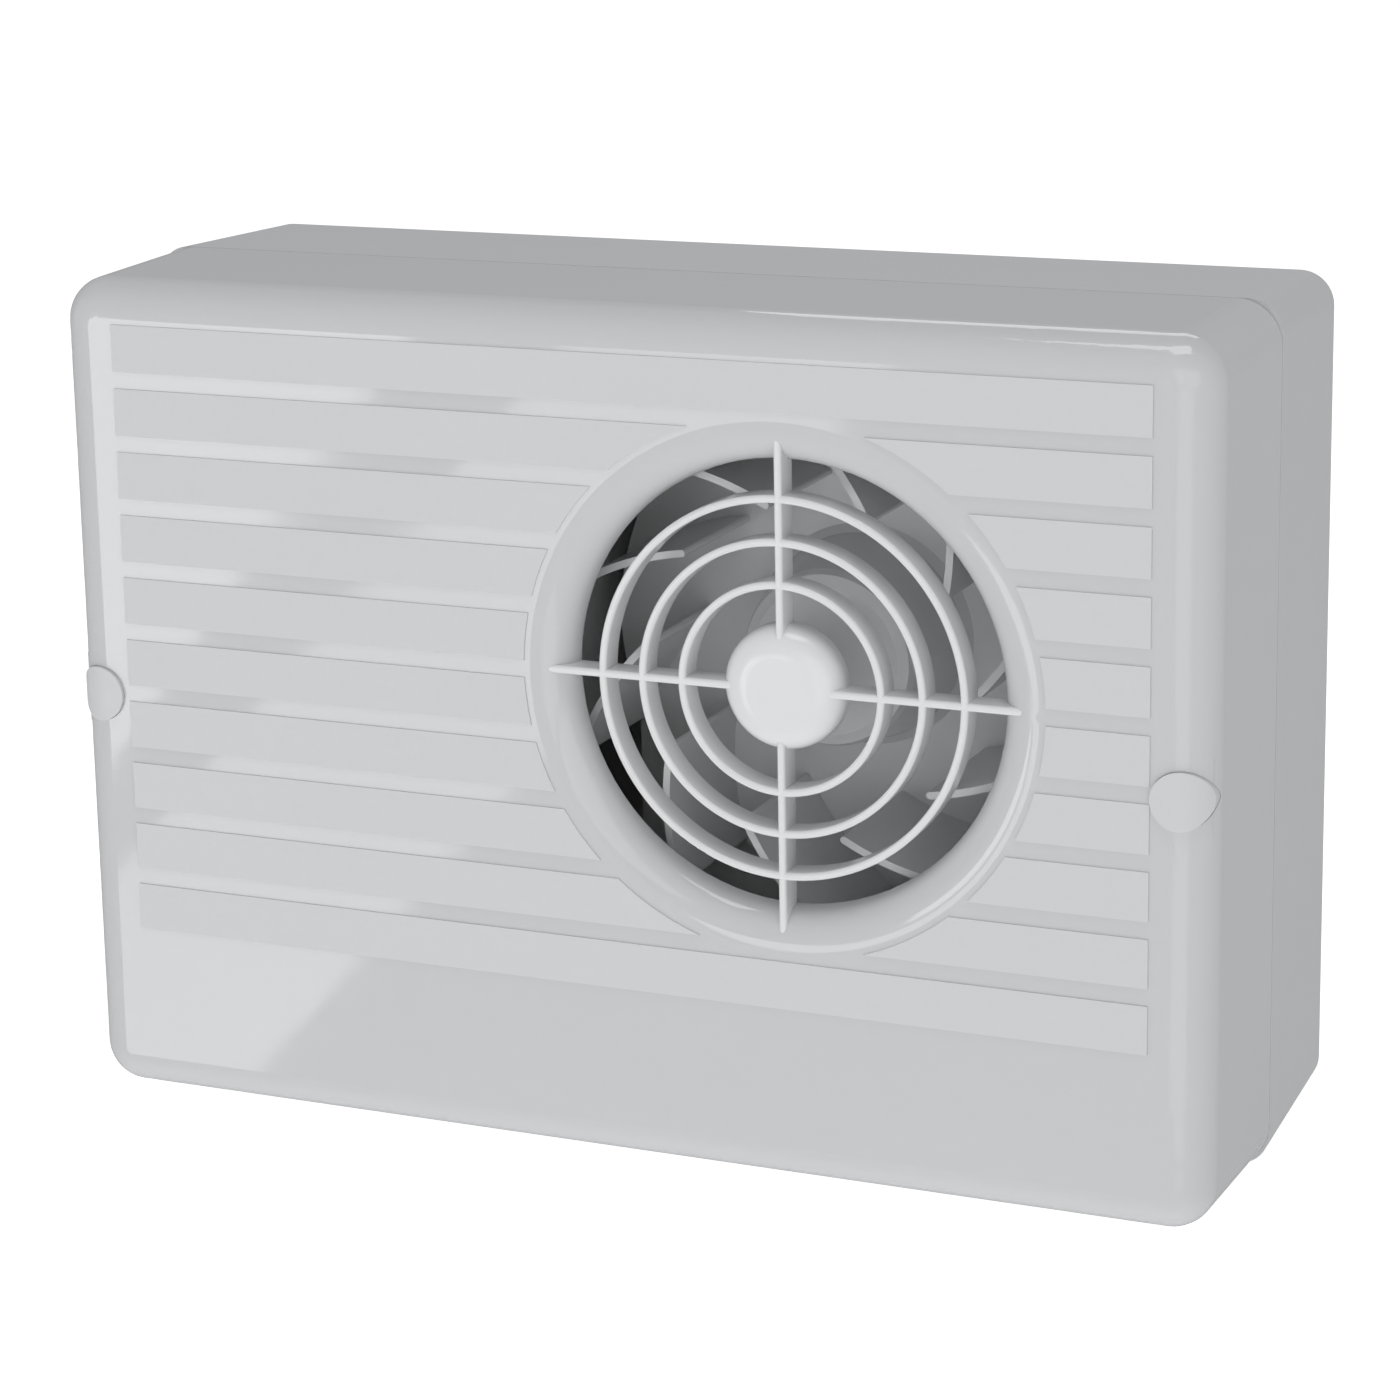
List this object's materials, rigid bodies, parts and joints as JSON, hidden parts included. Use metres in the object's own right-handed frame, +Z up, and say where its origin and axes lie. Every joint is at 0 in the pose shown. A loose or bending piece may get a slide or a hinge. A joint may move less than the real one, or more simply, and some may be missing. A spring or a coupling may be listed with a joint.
{
  "type": "bathroom extractor fan",
  "caption": "Wall-mounted centrifugal bathroom extractor fan: rectangular two-part casing, round grilled inlet at the upper right, shuttered round duct spigot at the back.",
  "frame": {"origin": "on the axis of the outlet spigot, in the plane of the wall the casing stands on", "axes": "+X to the right as seen from the room, +Y into the wall along the spigot, +Z up"},
  "size_m": [0.2974, 0.152, 0.212],
  "materials": {
    "cover_white": "moulded, glossy with matt raised strips",
    "tray_white": "moulded, satin",
    "grille_white": "moulded, glossy",
    "cap_white": "moulded, glossy",
    "scroll_plastic": "moulded, fine grain",
    "impeller_plastic": "moulded, glossy",
    "spigot_plastic": "moulded, satin",
    "flap_plastic": "moulded, thin",
    "zinc_steel": "zinc plated",
    "spring_steel": "bright drawn",
    "ground_steel": "ground",
    "core_steel": "stacked laminations, oiled",
    "bracket_steel": "pressed, zinc plated",
    "rotor_metal": "die-cast cage on laminations",
    "bare_copper": "bare drawn copper",
    "enamelled_copper": "enamelled wire, wound",
    "bearing_bronze": "sintered",
    "screw_brass": "nickel-free brass",
    "bobbin_nylon": "moulded",
    "washer_nylon": "moulded",
    "terminal_nylon": "moulded",
    "clamp_nylon": "moulded",
    "black_rubber": "moulded, soft",
    "lead_brown": "extruded sleeve",
    "lead_blue": "extruded sleeve"
  },
  "bodies": {
    "casing": {"front_cover": "cover_white", "rear_housing": "tray_white", "inlet_grille": "grille_white", "screw_cap_left": "cap_white", "screw_cap_right": "cap_white", "cover_screws": "zinc_steel", "scroll_casing": "scroll_plastic", "scroll_plate": "scroll_plastic", "scroll_screws": "zinc_steel", "stator_core": "core_steel", "shading_rings": "bare_copper", "coil_bobbin": "bobbin_nylon", "coil_winding": "enamelled_copper", "front_bracket": "bracket_steel", "rear_bracket": "bracket_steel", "motor_screws": "zinc_steel", "motor_nuts": "zinc_steel", "rubber_mounts": "black_rubber", "mount_screws": "zinc_steel", "outlet_spigot": "spigot_plastic", "shutter_pin": "ground_steel", "shutter_spring": "spring_steel", "terminal_block": "terminal_nylon", "terminal_screws": "screw_brass", "block_screw": "zinc_steel", "cable_clamp": "clamp_nylon", "clamp_screws": "zinc_steel", "cable_grommet": "black_rubber", "front_bearing": "bearing_bronze", "rear_bearing": "bearing_bronze", "lead_live": "lead_brown", "lead_neutral": "lead_blue"},
    "rotating_group": {"impeller": "impeller_plastic", "impeller_clip": "spring_steel", "rotor": "rotor_metal", "shaft": "ground_steel", "thrust_washers": "washer_nylon"},
    "flap_left": {"shutter_flap_left": "flap_plastic"},
    "flap_right": {"shutter_flap_right": "flap_plastic"}
  },
  "joints": [
    {"name": "impeller_spin", "type": "hinge", "parent": "casing", "child": "rotating_group", "pos_m": [0.128, 0, 0.062], "axis": [0, 1, 0], "continuous": true},
    {"name": "flap_left_hinge", "type": "hinge", "parent": "casing", "child": "flap_left", "pos_m": [0, 0.008, 0], "axis": [0, 0, -1], "range_deg": [0, 70], "stiffness_Nm_per_rad": 0.002, "springref_deg": -11.46},
    {"name": "flap_right_hinge", "type": "hinge", "parent": "casing", "child": "flap_right", "pos_m": [0, 0.008, 0], "axis": [0, 0, 1], "range_deg": [0, 70], "stiffness_Nm_per_rad": 0.002, "springref_deg": -11.46}
  ]
}
